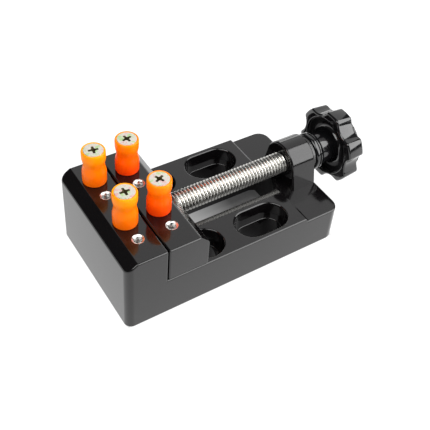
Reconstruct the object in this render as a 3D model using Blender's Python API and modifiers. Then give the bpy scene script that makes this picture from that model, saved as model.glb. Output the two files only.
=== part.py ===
"""Screw-driven circuit board vise: a cast base with a fixed jaw, a sliding jaw on two rails, a threaded
spindle turned by a star knob, and four screwed posts that hold a board by its edges.

Run with: blender --background --python part.py
Every solid is one object named after its sub-part.  Units are metres and +Z is up.  The base stands on
z = 0 along X, with the fixed jaw at the low X end and the knob at the high X end.
"""

from math import acos, atan2, cos, hypot, pi, radians, sin

import bmesh
import bpy
from mathutils import Matrix, Vector

MM = 0.001

# Driving dimensions, measured along X from the end face of the fixed jaw.
BASE_LENGTH = 99.3 * MM
BASE_WIDTH = 57.0 * MM
JAW_TOP = 34.0 * MM
RAIL_TOP = 18.2 * MM
PAD_TOP = 16.5 * MM
RAIL_END = 82.0 * MM
FIXED_JAW_DEPTH = 16.8 * MM
JAW_CORNER_RADIUS = 3.0 * MM
PAD_CORNER_RADIUS = 5.0 * MM
EDGE_ROUND = 0.4 * MM

# The chamfer along the outer edge of the fixed jaw.
OUTER_CHAMFER_RUN = 4.4 * MM
OUTER_CHAMFER_DROP = 3.0 * MM

# The sliding jaw, closed against the fixed one.
JAW_GAP = 0.35 * MM
SLIDING_JAW_BACK = 34.4 * MM
BACK_CHAMFER = 4.0 * MM
SLIDE_GAP = 0.2 * MM

# The guide slot between the rails, the tongue that runs in it and the channel under the base.
SLOT_WIDTH = 16.0 * MM
SLOT_END = 84.6 * MM
TONGUE_WIDTH = 15.4 * MM
TONGUE_START = 17.6 * MM
TONGUE_END = 32.0 * MM
TONGUE_BOTTOM = 5.3 * MM
CHANNEL_WIDTH = 24.0 * MM
CHANNEL_HEIGHT = 5.2 * MM
CHANNEL_START = 17.2 * MM

# The keeper plate under the rails, its two screws and washers.
KEEPER_START = 17.8 * MM
KEEPER_END = 32.8 * MM
KEEPER_WIDTH = 23.0 * MM
KEEPER_THICKNESS = 2.0 * MM
KEEPER_SCREW_SPACING = 8.0 * MM
KEEPER_SCREW_LENGTH = 10.0 * MM
KEEPER_SHANK_RADIUS = 1.5 * MM
KEEPER_HEAD_RADIUS = 2.7 * MM
KEEPER_HEAD_HEIGHT = 1.3 * MM
KEEPER_WASHER_RADIUS = 3.3 * MM
KEEPER_WASHER_THICKNESS = 0.5 * MM

# The spindle pillar at the end of the base.
PILLAR_FRONT = 87.3 * MM
PILLAR_ARCH_RADIUS = 9.3 * MM
PILLAR_FOOT_WIDTH = 22.4 * MM
PILLAR_EDGE_ROUND = 0.7 * MM
PILLAR_ROOT = 2.0 * MM
PILLAR_INSET = 0.2 * MM

# The spindle and where the sliding jaw holds it.
SPINDLE_HEIGHT = 24.2 * MM
SPINDLE_RADIUS = 4.6 * MM
SPINDLE_START = 23.4 * MM
SPINDLE_END = 119.3 * MM
SPINDLE_POINT = 0.8 * MM
SPINDLE_CLEARANCE = 0.2 * MM
JAW_BORE_START = 22.8 * MM
JAW_COUNTERBORE_RADIUS = 6.4 * MM
JAW_COUNTERBORE_DEPTH = 3.0 * MM
NECK_START = 26.4 * MM
NECK_LENGTH = 3.2 * MM
NECK_RADIUS = 2.9 * MM
RETAINING_PIN_RADIUS = 1.25 * MM
RETAINING_PIN_TOP = 29.0 * MM

# The counterbored fixing slots and holes in the rails.
FIXING_Y = 19.2 * MM
FIXING_WIDTH = 14.0 * MM
FIXING_THROUGH_WIDTH = 10.5 * MM
FIXING_DEPTH = 7.1 * MM
FIXING_SLOT_X = 65.0 * MM
FIXING_SLOT_LENGTH = 22.9 * MM
FIXING_HOLE_X = 39.0 * MM

# The posts and the tapped holes in the jaw tops.
POST_Y = (17.6 * MM, -7.8 * MM)
OPEN_HOLE_Y = (7.8 * MM, -17.6 * MM)
FIXED_POST_X = 10.2 * MM
SLIDING_POST_X = 24.2 * MM
POST_HEIGHT = 15.3 * MM
POST_RADIUS = 4.75 * MM
POST_RIM_RADIUS = 4.7 * MM
POST_WAIST_RADIUS = 3.95 * MM
TAPPED_RADIUS = 2.0 * MM
TAPPED_DEPTH = 13.5 * MM
TAPPED_MOUTH = 2.4 * MM
POST_SHANK_RADIUS = 1.7 * MM
POST_BORE_RADIUS = 2.1 * MM
SCREW_HEAD_RADIUS = 4.0 * MM
SCREW_HEAD_HEIGHT = 2.3 * MM
SCREW_ENGAGEMENT = 12.5 * MM
RECESS_SPAN = 4.6 * MM
RECESS_BLADE = 0.95 * MM
RECESS_DEPTH = 1.7 * MM
SEAT_GAP = 0.05 * MM
FIT_GAP = 0.3 * MM

# The star knob, its thrust washer and its nut.
WASHER_START = 99.6 * MM
WASHER_THICKNESS = 1.4 * MM
WASHER_RADIUS = 7.4 * MM
HUB_START = 101.3 * MM
HUB_RADIUS = 8.2 * MM
HUB_STEP = 105.0 * MM
HUB_STEP_RADIUS = 7.2 * MM
KNOB_FRONT = 111.5 * MM
KNOB_BACK = 119.9 * MM
KNOB_CROWN = 1.0 * MM
KNOB_RADIUS = 16.9 * MM
KNOB_TAPER = 0.5 * MM
KNOB_LOBES = 6
KNOB_FIRST_LOBE = radians(5.0)
SCALLOP_RADIUS = 7.6 * MM
SCALLOP_DEPTH = 2.7 * MM
KNOB_EDGE_ROUND = 0.7 * MM
DISH_RADIUS = 13.2 * MM
DISH_DEPTH = 2.8 * MM
NUT_POCKET_RADIUS = 8.2 * MM
NUT_POCKET_DEPTH = 3.6 * MM
NUT_ACROSS_CORNERS = 14.6 * MM
NUT_THICKNESS = 3.0 * MM

ROUND_STEPS = 48
SMALL_STEPS = 24

OVERALL_LENGTH = KNOB_BACK + KNOB_CROWN
PARTS_NAME = "circuit_board_vise"
CUTTERS_NAME = "cutters"


# ---------------------------------------------------------------- scene and materials

def clear_scene():
    for old in list(bpy.data.objects):
        bpy.data.objects.remove(old, do_unlink=True)


def make_collection(name):
    collection = bpy.data.collections.new(name)
    bpy.context.scene.collection.children.link(collection)
    return collection


def material(name, colour, roughness, metallic):
    finish = bpy.data.materials.new(name)
    finish.use_nodes = True
    shader = finish.node_tree.nodes["Principled BSDF"]
    shader.inputs["Base Color"].default_value = (*colour, 1.0)
    shader.inputs["Roughness"].default_value = roughness
    shader.inputs["Metallic"].default_value = metallic
    finish.diffuse_color = (*colour, 1.0)
    return finish


clear_scene()
PARTS = make_collection(PARTS_NAME)
CUTTERS = make_collection(CUTTERS_NAME)

BLACK_PAINT = material("black_gloss_paint", (0.03, 0.028, 0.03), 0.2, 0.0)
BLACK_PLASTIC = material("black_gloss_plastic", (0.012, 0.012, 0.013), 0.15, 0.0)
ORANGE = material("orange_post", (1.0, 0.27, 0.01), 0.35, 0.0)
YELLOW_ZINC = material("yellow_zinc_plate", (0.78, 0.72, 0.5), 0.3, 1.0)
BRIGHT_ZINC = material("bright_zinc_plate", (0.75, 0.76, 0.74), 0.28, 1.0)
PLAIN_STEEL = material("plain_steel", (0.5, 0.5, 0.52), 0.4, 1.0)


def place(obj, collection):
    for old in list(obj.users_collection):
        old.objects.unlink(obj)
    collection.objects.link(obj)
    return obj


def as_cutter(obj):
    place(obj, CUTTERS)
    obj.hide_render = True
    obj.display_type = "WIRE"
    return obj


def as_part(obj, name, finish, parent):
    place(obj, PARTS)
    obj.name = name
    obj.data.name = name
    obj.data.materials.clear()
    obj.data.materials.append(finish)
    obj.parent = parent
    obj.matrix_parent_inverse = parent.matrix_world.inverted()
    return obj


def pivot(name, x, y, z, parent=None):
    """An empty on a joint's axis."""
    empty = bpy.data.objects.new(name, None)
    empty.empty_display_size = 5 * MM
    empty.location = (x, y, z)
    PARTS.objects.link(empty)
    bpy.context.view_layer.update()
    if parent:
        empty.parent = parent
        empty.matrix_parent_inverse = parent.matrix_world.inverted()
        bpy.context.view_layer.update()
    return empty


# ---------------------------------------------------------------- shape helpers

def along_x(x):
    """World X of a distance from the fixed jaw's end face; the whole vise is centred on X = 0."""
    return x - OVERALL_LENGTH / 2


def box(low, high):
    """An axis-aligned block between two corners, with X measured from the fixed jaw's end face."""
    low = Vector(low)
    high = Vector(high)
    bpy.ops.mesh.primitive_cube_add(size=1)
    obj = bpy.context.object
    obj.data.transform(Matrix.Diagonal((*(high - low), 1.0)))
    middle = (low + high) / 2
    obj.location = (along_x(middle.x), middle.y, middle.z)
    return obj


def cylinder_z(radius, bottom, top, x, y, steps=SMALL_STEPS):
    bpy.ops.mesh.primitive_cylinder_add(vertices=steps, radius=radius, depth=top - bottom)
    obj = bpy.context.object
    obj.location = (along_x(x), y, (bottom + top) / 2)
    return obj


def cylinder_x(radius, start, end, y, z, steps=ROUND_STEPS):
    bpy.ops.mesh.primitive_cylinder_add(vertices=steps, radius=radius, depth=end - start)
    obj = bpy.context.object
    obj.data.transform(Matrix.Rotation(pi / 2, 4, "Y"))
    obj.location = (along_x((start + end) / 2), y, z)
    return obj


def arc(centre, radius, start, end, steps):
    """Points along an arc, from one angle to another."""
    angles = [start + (end - start) * i / steps for i in range(steps + 1)]
    return [(centre[0] + radius * cos(a), centre[1] + radius * sin(a)) for a in angles]


def rounded_rectangle(x0, x1, half_width, low_radius, high_radius, steps=8):
    """A plan outline with one corner radius at each end."""
    outline = arc((x1 - high_radius, half_width - high_radius), high_radius, 0, pi / 2, steps)
    outline += arc((x0 + low_radius, half_width - low_radius), low_radius, pi / 2, pi, steps)
    outline += arc((x0 + low_radius, low_radius - half_width), low_radius, pi, 1.5 * pi, steps)
    outline += arc((x1 - high_radius, high_radius - half_width), high_radius, 1.5 * pi, 2 * pi, steps)
    return outline


def oblong(length, width, steps=12):
    """A slot outline with round ends, centred on the origin."""
    radius = width / 2
    straight = length / 2 - radius
    outline = arc((straight, 0), radius, -pi / 2, pi / 2, steps)
    outline += arc((-straight, 0), radius, pi / 2, 1.5 * pi, steps)
    return outline


def without_repeats(outline):
    kept = []
    for point in outline:
        if not kept or hypot(point[0] - kept[-1][0], point[1] - kept[-1][1]) > 0.001 * MM:
            kept.append(point)
    if hypot(kept[0][0] - kept[-1][0], kept[0][1] - kept[-1][1]) < 0.001 * MM:
        kept.pop()
    return kept


def prism(outline, thickness, turn=None):
    """A flat outline extruded to both sides of its own plane, welded into one closed mesh."""
    outline = without_repeats(outline)
    curve = bpy.data.curves.new("outline", "CURVE")
    curve.dimensions = "2D"
    curve.fill_mode = "BOTH"
    curve.extrude = thickness / 2
    spline = curve.splines.new("POLY")
    spline.points.add(len(outline) - 1)
    for point, (u, v) in zip(spline.points, outline):
        point.co = (u, v, 0.0, 1.0)
    spline.use_cyclic_u = True
    flat = bpy.data.objects.new("outline", curve)
    bpy.context.scene.collection.objects.link(flat)
    graph = bpy.context.evaluated_depsgraph_get()
    mesh = bpy.data.meshes.new_from_object(flat.evaluated_get(graph))
    bpy.data.objects.remove(flat, do_unlink=True)
    close_mesh(mesh)
    if turn:
        mesh.transform(turn)
    obj = bpy.data.objects.new("prism", mesh)
    bpy.context.scene.collection.objects.link(obj)
    return obj


def close_mesh(mesh):
    """Weld the caps to the sides and turn every face outward."""
    shape = bmesh.new()
    shape.from_mesh(mesh)
    bmesh.ops.remove_doubles(shape, verts=shape.verts, dist=0.001 * MM)
    bmesh.ops.recalc_face_normals(shape, faces=shape.faces)
    shape.to_mesh(mesh)
    shape.free()


UPRIGHT = Matrix.Rotation(pi / 2, 4, "X")
ACROSS = Matrix(((0, 0, 1, 0), (1, 0, 0, 0), (0, 1, 0, 0), (0, 0, 0, 1)))


def turned(profile, steps=ROUND_STEPS, axis="Z", closed=False):
    """A solid of revolution from (radius, height) points, about the axis named."""
    mesh = bpy.data.meshes.new("profile")
    count = len(profile)
    edges = [(i, i + 1) for i in range(count - 1)]
    if closed:
        edges.append((count - 1, 0))
    mesh.from_pydata([(r, 0.0, h) for r, h in profile], edges, [])
    obj = bpy.data.objects.new("turned", mesh)
    bpy.context.scene.collection.objects.link(obj)
    screw = obj.modifiers.new("turn", "SCREW")
    screw.axis = "Z"
    screw.steps = steps
    screw.render_steps = steps
    screw.use_merge_vertices = True
    screw.merge_threshold = 0.001 * MM
    graph = bpy.context.evaluated_depsgraph_get()
    solid = bpy.data.meshes.new_from_object(obj.evaluated_get(graph))
    bpy.data.objects.remove(obj, do_unlink=True)
    close_mesh(solid)
    if axis == "X":
        solid.transform(Matrix.Rotation(pi / 2, 4, "Y"))
    result = bpy.data.objects.new("turned", solid)
    bpy.context.scene.collection.objects.link(result)
    return result


def boolean(target, tool, operation="DIFFERENCE"):
    modifier = target.modifiers.new(operation.lower(), "BOOLEAN")
    modifier.operation = operation
    modifier.solver = "EXACT"
    modifier.object = as_cutter(tool)


def round_edges(target, width, segments=2, angle=30.0):
    modifier = target.modifiers.new("rounded_edges", "BEVEL")
    modifier.width = width
    modifier.segments = segments
    modifier.limit_method = "ANGLE"
    modifier.angle_limit = radians(angle)
    modifier.use_clamp_overlap = True


# ---------------------------------------------------------------- holes that both jaws share

def tapped_hole(target, x, y):
    """A blind tapped hole with a countersunk mouth, opening in the jaw's top."""
    profile = [
        (0.0, JAW_TOP - TAPPED_DEPTH),
        (TAPPED_RADIUS, JAW_TOP - TAPPED_DEPTH),
        (TAPPED_RADIUS, JAW_TOP - (TAPPED_MOUTH - TAPPED_RADIUS)),
        (TAPPED_MOUTH, JAW_TOP),
        (TAPPED_MOUTH, JAW_TOP + 1 * MM),
        (0.0, JAW_TOP + 1 * MM),
    ]
    hole = turned(profile, SMALL_STEPS)
    hole.location = (along_x(x), y, 0)
    boolean(target, hole)


# ---------------------------------------------------------------- base casting

def pillar_outline():
    """The pillar's front: a round arch about the spindle, with sides that flare to the foot."""
    half_foot = PILLAR_FOOT_WIDTH / 2
    drop = PAD_TOP - SPINDLE_HEIGHT
    start = atan2(drop, half_foot) + acos(PILLAR_ARCH_RADIUS / hypot(half_foot, drop))
    slope = (half_foot - PILLAR_ARCH_RADIUS * cos(start)) / (PILLAR_ARCH_RADIUS * sin(start) - drop)
    half_root = half_foot + slope * PILLAR_ROOT
    outline = [(-half_root, PAD_TOP - PILLAR_ROOT), (half_root, PAD_TOP - PILLAR_ROOT)]
    outline += arc((0, SPINDLE_HEIGHT), PILLAR_ARCH_RADIUS, start, pi - start, 24)
    return outline


def make_pillar():
    depth = BASE_LENGTH - PILLAR_INSET - PILLAR_FRONT
    pillar = prism(pillar_outline(), depth, ACROSS)
    pillar.location = (along_x(PILLAR_FRONT + depth / 2), 0, 0)
    round_edges(pillar, PILLAR_EDGE_ROUND, 3, 40.0)
    return pillar


def fixing_cutters(target, side):
    """One counterbored slot and one counterbored hole in a rail."""
    y = side * FIXING_Y
    ledge = RAIL_TOP - FIXING_DEPTH
    narrower = FIXING_WIDTH - FIXING_THROUGH_WIDTH
    over = 1 * MM
    for x, length in ((FIXING_SLOT_X, FIXING_SLOT_LENGTH), (FIXING_HOLE_X, FIXING_WIDTH + 0.01 * MM)):
        mouth = prism(oblong(length, FIXING_WIDTH), FIXING_DEPTH + over)
        mouth.location = (along_x(x), y, ledge + (FIXING_DEPTH + over) / 2)
        boolean(target, mouth)
        through = prism(oblong(length - narrower, FIXING_THROUGH_WIDTH), ledge + 2 * over)
        through.location = (along_x(x), y, ledge / 2)
        boolean(target, through)


def make_base(parent):
    side_view = [
        (0.0, 0.0),
        (BASE_LENGTH, 0.0),
        (BASE_LENGTH, PAD_TOP),
        (RAIL_END, PAD_TOP),
        (RAIL_END, RAIL_TOP),
        (FIXED_JAW_DEPTH, RAIL_TOP),
        (FIXED_JAW_DEPTH, JAW_TOP),
        (OUTER_CHAMFER_RUN, JAW_TOP),
        (0.0, JAW_TOP - OUTER_CHAMFER_DROP),
    ]
    base = prism(side_view, BASE_WIDTH, UPRIGHT)
    base.location = (along_x(0), 0, 0)
    plan = rounded_rectangle(0, BASE_LENGTH, BASE_WIDTH / 2, JAW_CORNER_RADIUS, PAD_CORNER_RADIUS)
    limits = prism(plan, 2 * JAW_TOP)
    limits.location = (along_x(0), 0, JAW_TOP / 2)
    boolean(base, limits, "INTERSECT")
    round_edges(base, EDGE_ROUND, 2, 20.0)
    boolean(base, make_pillar(), "UNION")

    slot_start = FIXED_JAW_DEPTH
    slot = prism(oblong(SLOT_END - slot_start + SLOT_WIDTH, SLOT_WIDTH), RAIL_TOP * 2)
    slot.location = (along_x((SLOT_END + slot_start - SLOT_WIDTH) / 2), 0, RAIL_TOP / 2)
    keep_jaw = box(
        (slot_start - SLOT_WIDTH * 2, -SLOT_WIDTH, -RAIL_TOP),
        (slot_start, SLOT_WIDTH, RAIL_TOP * 2),
    )
    boolean(slot, keep_jaw)
    boolean(base, slot)
    half_channel = CHANNEL_WIDTH / 2
    channel = box(
        (CHANNEL_START, -half_channel, -1 * MM),
        (SLOT_END, half_channel, CHANNEL_HEIGHT),
    )
    boolean(base, channel)

    for side in (-1, 1):
        fixing_cutters(base, side)
    bore = cylinder_x(
        SPINDLE_RADIUS + SPINDLE_CLEARANCE,
        PILLAR_FRONT - 1 * MM,
        BASE_LENGTH + 1 * MM,
        0,
        SPINDLE_HEIGHT,
    )
    boolean(base, bore)
    for y in POST_Y + OPEN_HOLE_Y:
        tapped_hole(base, FIXED_POST_X, y)
    as_part(base, "base_casting", BLACK_PAINT, parent)


# ---------------------------------------------------------------- sliding jaw and its keeper

def make_sliding_jaw(parent):
    start = FIXED_JAW_DEPTH + JAW_GAP
    bottom = RAIL_TOP + SLIDE_GAP
    side_view = [
        (start, bottom),
        (SLIDING_JAW_BACK, bottom),
        (SLIDING_JAW_BACK, JAW_TOP - BACK_CHAMFER),
        (SLIDING_JAW_BACK - BACK_CHAMFER, JAW_TOP),
        (start, JAW_TOP),
    ]
    jaw = prism(side_view, BASE_WIDTH, UPRIGHT)
    jaw.location = (along_x(0), 0, 0)
    round_edges(jaw, EDGE_ROUND, 2, 20.0)

    tongue_length = TONGUE_END - TONGUE_START
    tongue_height = bottom + 2 * MM - TONGUE_BOTTOM
    radius = TONGUE_WIDTH / 2
    outline = [(TONGUE_START, radius), (TONGUE_START, -radius)]
    outline += arc((TONGUE_START + tongue_length - radius, 0), radius, -pi / 2, pi / 2, 16)
    tongue = prism(outline, tongue_height)
    tongue.location = (along_x(0), 0, TONGUE_BOTTOM + tongue_height / 2)
    boolean(jaw, tongue, "UNION")

    bore_radius = SPINDLE_RADIUS + SPINDLE_CLEARANCE
    boolean(jaw, cylinder_x(bore_radius, JAW_BORE_START, SLIDING_JAW_BACK + MM, 0, SPINDLE_HEIGHT))
    counterbore_start = SLIDING_JAW_BACK - JAW_COUNTERBORE_DEPTH
    counterbore = cylinder_x(
        JAW_COUNTERBORE_RADIUS, counterbore_start, SLIDING_JAW_BACK + MM, 0, SPINDLE_HEIGHT
    )
    boolean(jaw, counterbore)
    for x, y in retaining_pin_places():
        pin_hole = cylinder_z(
            RETAINING_PIN_RADIUS + FIT_GAP, TONGUE_BOTTOM - MM, RETAINING_PIN_TOP + FIT_GAP, x, y
        )
        boolean(jaw, pin_hole)
    for x in keeper_screw_places():
        screw_hole = cylinder_z(
            KEEPER_SHANK_RADIUS + FIT_GAP,
            TONGUE_BOTTOM - MM,
            TONGUE_BOTTOM + KEEPER_SCREW_LENGTH,
            x,
            0,
        )
        boolean(jaw, screw_hole)
    for y in POST_Y + OPEN_HOLE_Y:
        tapped_hole(jaw, SLIDING_POST_X, y)
    as_part(jaw, "moving_jaw", BLACK_PAINT, parent)


def retaining_pin_places():
    """The pins stand either side of the spindle's neck."""
    x = NECK_START + NECK_LENGTH / 2
    y = NECK_RADIUS + FIT_GAP + RETAINING_PIN_RADIUS
    return ((x, -y), (x, y))


def make_retaining_pins(parent):
    for side, (x, y) in zip(("near", "far"), retaining_pin_places()):
        pin = cylinder_z(RETAINING_PIN_RADIUS, TONGUE_BOTTOM, RETAINING_PIN_TOP, x, y)
        as_part(pin, "retaining_pin_" + side, PLAIN_STEEL, parent)


def keeper_screw_places():
    middle = (KEEPER_START + KEEPER_END) / 2
    return (middle - KEEPER_SCREW_SPACING / 2, middle + KEEPER_SCREW_SPACING / 2)


def make_keeper(parent):
    plate_top = TONGUE_BOTTOM - FIT_GAP
    plate_bottom = plate_top - KEEPER_THICKNESS
    half = KEEPER_WIDTH / 2
    plate = box((KEEPER_START, -half, plate_bottom), (KEEPER_END, half, plate_top))
    for x in keeper_screw_places():
        hole = cylinder_z(
            KEEPER_SHANK_RADIUS + FIT_GAP, plate_bottom - MM, plate_top + MM, x, 0
        )
        boolean(plate, hole)
    as_part(plate, "keeper_plate", PLAIN_STEEL, parent)

    washer_top = plate_bottom - SEAT_GAP
    washer_bottom = washer_top - KEEPER_WASHER_THICKNESS
    head_top = washer_bottom - SEAT_GAP
    head_bottom = head_top - KEEPER_HEAD_HEIGHT
    inner = KEEPER_SHANK_RADIUS + FIT_GAP
    for end, x in zip(("front", "rear"), keeper_screw_places()):
        washer_profile = [
            (inner, washer_bottom),
            (KEEPER_WASHER_RADIUS, washer_bottom),
            (KEEPER_WASHER_RADIUS, washer_top),
            (inner, washer_top),
        ]
        washer = turned(washer_profile, SMALL_STEPS, closed=True)
        washer.location = (along_x(x), 0, 0)
        as_part(washer, "keeper_washer_" + end, BRIGHT_ZINC, parent)
        screw_profile = [
            (0.0, head_bottom),
            (KEEPER_HEAD_RADIUS * 0.7, head_bottom),
            (KEEPER_HEAD_RADIUS, head_bottom + KEEPER_HEAD_HEIGHT * 0.4),
            (KEEPER_HEAD_RADIUS, head_top),
            (KEEPER_SHANK_RADIUS, head_top),
            (KEEPER_SHANK_RADIUS, head_top + KEEPER_SCREW_LENGTH),
            (0.0, head_top + KEEPER_SCREW_LENGTH),
        ]
        screw = turned(screw_profile, SMALL_STEPS)
        screw.location = (along_x(x), 0, 0)
        as_part(screw, "keeper_screw_" + end, BRIGHT_ZINC, parent)


# ---------------------------------------------------------------- spindle and knob

def on_spindle(obj):
    """Set a shape turned about X on the spindle's axis, with X measured from the fixed jaw's end."""
    obj.location = (along_x(0), 0, SPINDLE_HEIGHT)
    return obj


def make_spindle(parent):
    inner = SPINDLE_RADIUS - SPINDLE_POINT
    profile = [
        (0.0, SPINDLE_START),
        (inner, SPINDLE_START),
        (SPINDLE_RADIUS, SPINDLE_START + SPINDLE_POINT),
        (SPINDLE_RADIUS, NECK_START),
        (NECK_RADIUS, NECK_START),
        (NECK_RADIUS, NECK_START + NECK_LENGTH),
        (SPINDLE_RADIUS, NECK_START + NECK_LENGTH),
        (SPINDLE_RADIUS, SPINDLE_END - SPINDLE_POINT),
        (inner, SPINDLE_END),
        (0.0, SPINDLE_END),
    ]
    spindle = on_spindle(turned(profile, ROUND_STEPS, "X"))
    as_part(spindle, "lead_screw", BRIGHT_ZINC, parent)


def make_thrust_washer(parent):
    inner = SPINDLE_RADIUS + FIT_GAP
    end = WASHER_START + WASHER_THICKNESS
    profile = [
        (inner, WASHER_START),
        (WASHER_RADIUS, WASHER_START),
        (WASHER_RADIUS, end),
        (inner, end),
    ]
    washer = on_spindle(turned(profile, ROUND_STEPS, "X", closed=True))
    as_part(washer, "thrust_washer", PLAIN_STEEL, parent)


def make_knob(parent):
    inner = SPINDLE_RADIUS + FIT_GAP
    round_off = 0.5 * MM
    floor = KNOB_FRONT + DISH_DEPTH
    profile = [
        (inner, HUB_START),
        (HUB_RADIUS - round_off, HUB_START),
        (HUB_RADIUS, HUB_START + round_off),
        (HUB_RADIUS, HUB_STEP),
        (HUB_STEP_RADIUS, HUB_STEP + round_off),
        (HUB_STEP_RADIUS, floor - round_off),
        (HUB_STEP_RADIUS + 2 * round_off, floor),
        (DISH_RADIUS - 2 * round_off, floor),
        (DISH_RADIUS, KNOB_FRONT),
        (KNOB_RADIUS, KNOB_FRONT),
        (KNOB_RADIUS - KNOB_TAPER, KNOB_BACK),
        (DISH_RADIUS, KNOB_BACK + KNOB_CROWN * 0.7),
        (NUT_POCKET_RADIUS, KNOB_BACK + KNOB_CROWN),
        (NUT_POCKET_RADIUS, KNOB_BACK + KNOB_CROWN - NUT_POCKET_DEPTH),
        (inner, KNOB_BACK + KNOB_CROWN - NUT_POCKET_DEPTH),
    ]
    knob = turned(profile, ROUND_STEPS, "X", closed=True)
    on_spindle(knob)
    reach = KNOB_RADIUS - SCALLOP_DEPTH + SCALLOP_RADIUS
    for index in range(KNOB_LOBES):
        angle = KNOB_FIRST_LOBE + 2 * pi * (index + 0.5) / KNOB_LOBES
        y = -reach * sin(angle)
        z = SPINDLE_HEIGHT + reach * cos(angle)
        boolean(knob, cylinder_x(SCALLOP_RADIUS, KNOB_FRONT - 3 * MM, OVERALL_LENGTH + 3 * MM, y, z, 40))
    round_edges(knob, KNOB_EDGE_ROUND, 1, 40.0)
    as_part(knob, "star_knob", BLACK_PLASTIC, parent)


def make_knob_nut(parent):
    start = KNOB_BACK + KNOB_CROWN - NUT_POCKET_DEPTH + SEAT_GAP
    radius = NUT_ACROSS_CORNERS / 2
    nut = cylinder_x(radius, start, start + NUT_THICKNESS, 0, SPINDLE_HEIGHT, 6)
    hole = cylinder_x(
        SPINDLE_RADIUS + FIT_GAP, start - MM, start + NUT_THICKNESS + MM, 0, SPINDLE_HEIGHT
    )
    boolean(nut, hole)
    as_part(nut, "knob_nut", BRIGHT_ZINC, parent)


# ---------------------------------------------------------------- posts

def make_post_sleeve(name, x, y, parent):
    """A waisted sleeve with a countersunk top, standing on the jaw."""
    bottom = JAW_TOP + SEAT_GAP
    top = JAW_TOP + POST_HEIGHT
    seat = SCREW_HEAD_RADIUS + FIT_GAP * 0.8
    cone = SCREW_HEAD_HEIGHT + FIT_GAP * 0.4
    profile = [
        (POST_BORE_RADIUS, bottom),
        (POST_RADIUS - 0.3 * MM, bottom),
        (POST_RADIUS, bottom + 0.4 * MM),
        (POST_RADIUS, bottom + 4.2 * MM),
        (POST_RADIUS - 0.15 * MM, bottom + 5.0 * MM),
        (POST_WAIST_RADIUS + 0.25 * MM, bottom + 6.3 * MM),
        (POST_WAIST_RADIUS, bottom + 7.6 * MM),
        (POST_WAIST_RADIUS, bottom + 8.6 * MM),
        (POST_WAIST_RADIUS + 0.25 * MM, bottom + 10.0 * MM),
        (POST_RIM_RADIUS - 0.15 * MM, bottom + 11.4 * MM),
        (POST_RIM_RADIUS, bottom + 12.2 * MM),
        (POST_RIM_RADIUS, top - 0.5 * MM),
        (seat, top),
        (POST_BORE_RADIUS, top - cone),
    ]
    sleeve = turned(profile, 32, closed=True)
    sleeve.location = (along_x(x), y, 0)
    as_part(sleeve, "post_sleeve_" + name, ORANGE, parent)


def make_post_screw(name, x, y, turn, parent):
    """A countersunk cross-recess screw through the sleeve into the tapped hole."""
    top = JAW_TOP + POST_HEIGHT
    profile = [
        (0.0, JAW_TOP - SCREW_ENGAGEMENT),
        (POST_SHANK_RADIUS - 0.4 * MM, JAW_TOP - SCREW_ENGAGEMENT),
        (POST_SHANK_RADIUS, JAW_TOP - SCREW_ENGAGEMENT + 0.5 * MM),
        (POST_SHANK_RADIUS, top - SCREW_HEAD_HEIGHT),
        (SCREW_HEAD_RADIUS - 0.1 * MM, top - 0.3 * MM),
        (SCREW_HEAD_RADIUS - 0.1 * MM, top - 0.1 * MM),
        (SCREW_HEAD_RADIUS - 0.25 * MM, top),
        (0.0, top),
    ]
    screw = turned(profile, 32)
    screw.location = (along_x(x), y, 0)
    for quarter in (0.0, pi / 2):
        low = (-RECESS_SPAN / 2, -RECESS_BLADE / 2, 0)
        blade = box(low, (RECESS_SPAN / 2, RECESS_BLADE / 2, 2 * RECESS_DEPTH))
        narrow_below(blade)
        blade.location = (along_x(x), y, top)
        blade.rotation_euler = (0, 0, turn + quarter)
        boolean(screw, blade)
    as_part(screw, "post_screw_" + name, YELLOW_ZINC, parent)


def narrow_below(blade):
    """Pull in the lower ends of a recess blade, as a cross point narrows with depth."""
    for vertex in blade.data.vertices:
        if vertex.co.z < 0:
            vertex.co.x *= 0.35
            vertex.co.y *= 0.7


def make_posts(base_pivot, jaw_pivot):
    places = (
        ("fixed_far", FIXED_POST_X, POST_Y[0], radians(28.0), base_pivot),
        ("fixed_near", FIXED_POST_X, POST_Y[1], radians(62.0), base_pivot),
        ("moving_far", SLIDING_POST_X, POST_Y[0], radians(8.0), jaw_pivot),
        ("moving_near", SLIDING_POST_X, POST_Y[1], radians(40.0), jaw_pivot),
    )
    for name, x, y, turn, parent in places:
        axis = pivot("post_axis_" + name, along_x(x), y, JAW_TOP, parent)
        make_post_sleeve(name, x, y, axis)
        make_post_screw(name, x, y, turn, axis)


# ---------------------------------------------------------------- assembly

def main():
    base_pivot = pivot("base_pivot", 0, 0, 0)
    jaw_pivot = pivot("jaw_slide", along_x(SLIDING_POST_X), 0, RAIL_TOP, base_pivot)
    spindle_pivot = pivot("spindle_axis", along_x(SPINDLE_START), 0, SPINDLE_HEIGHT, jaw_pivot)
    make_base(base_pivot)
    make_sliding_jaw(jaw_pivot)
    make_keeper(jaw_pivot)
    make_retaining_pins(jaw_pivot)
    make_spindle(spindle_pivot)
    make_thrust_washer(spindle_pivot)
    make_knob(spindle_pivot)
    make_knob_nut(spindle_pivot)
    make_posts(base_pivot, jaw_pivot)


main()
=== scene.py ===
"""The looks of a small screw-driven circuit board vise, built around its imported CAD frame."""
from math import acos, atan2, ceil, cos, hypot, pi, radians, sin

import bmesh
import bpy
from mathutils import Euler, Matrix, Vector


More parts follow.
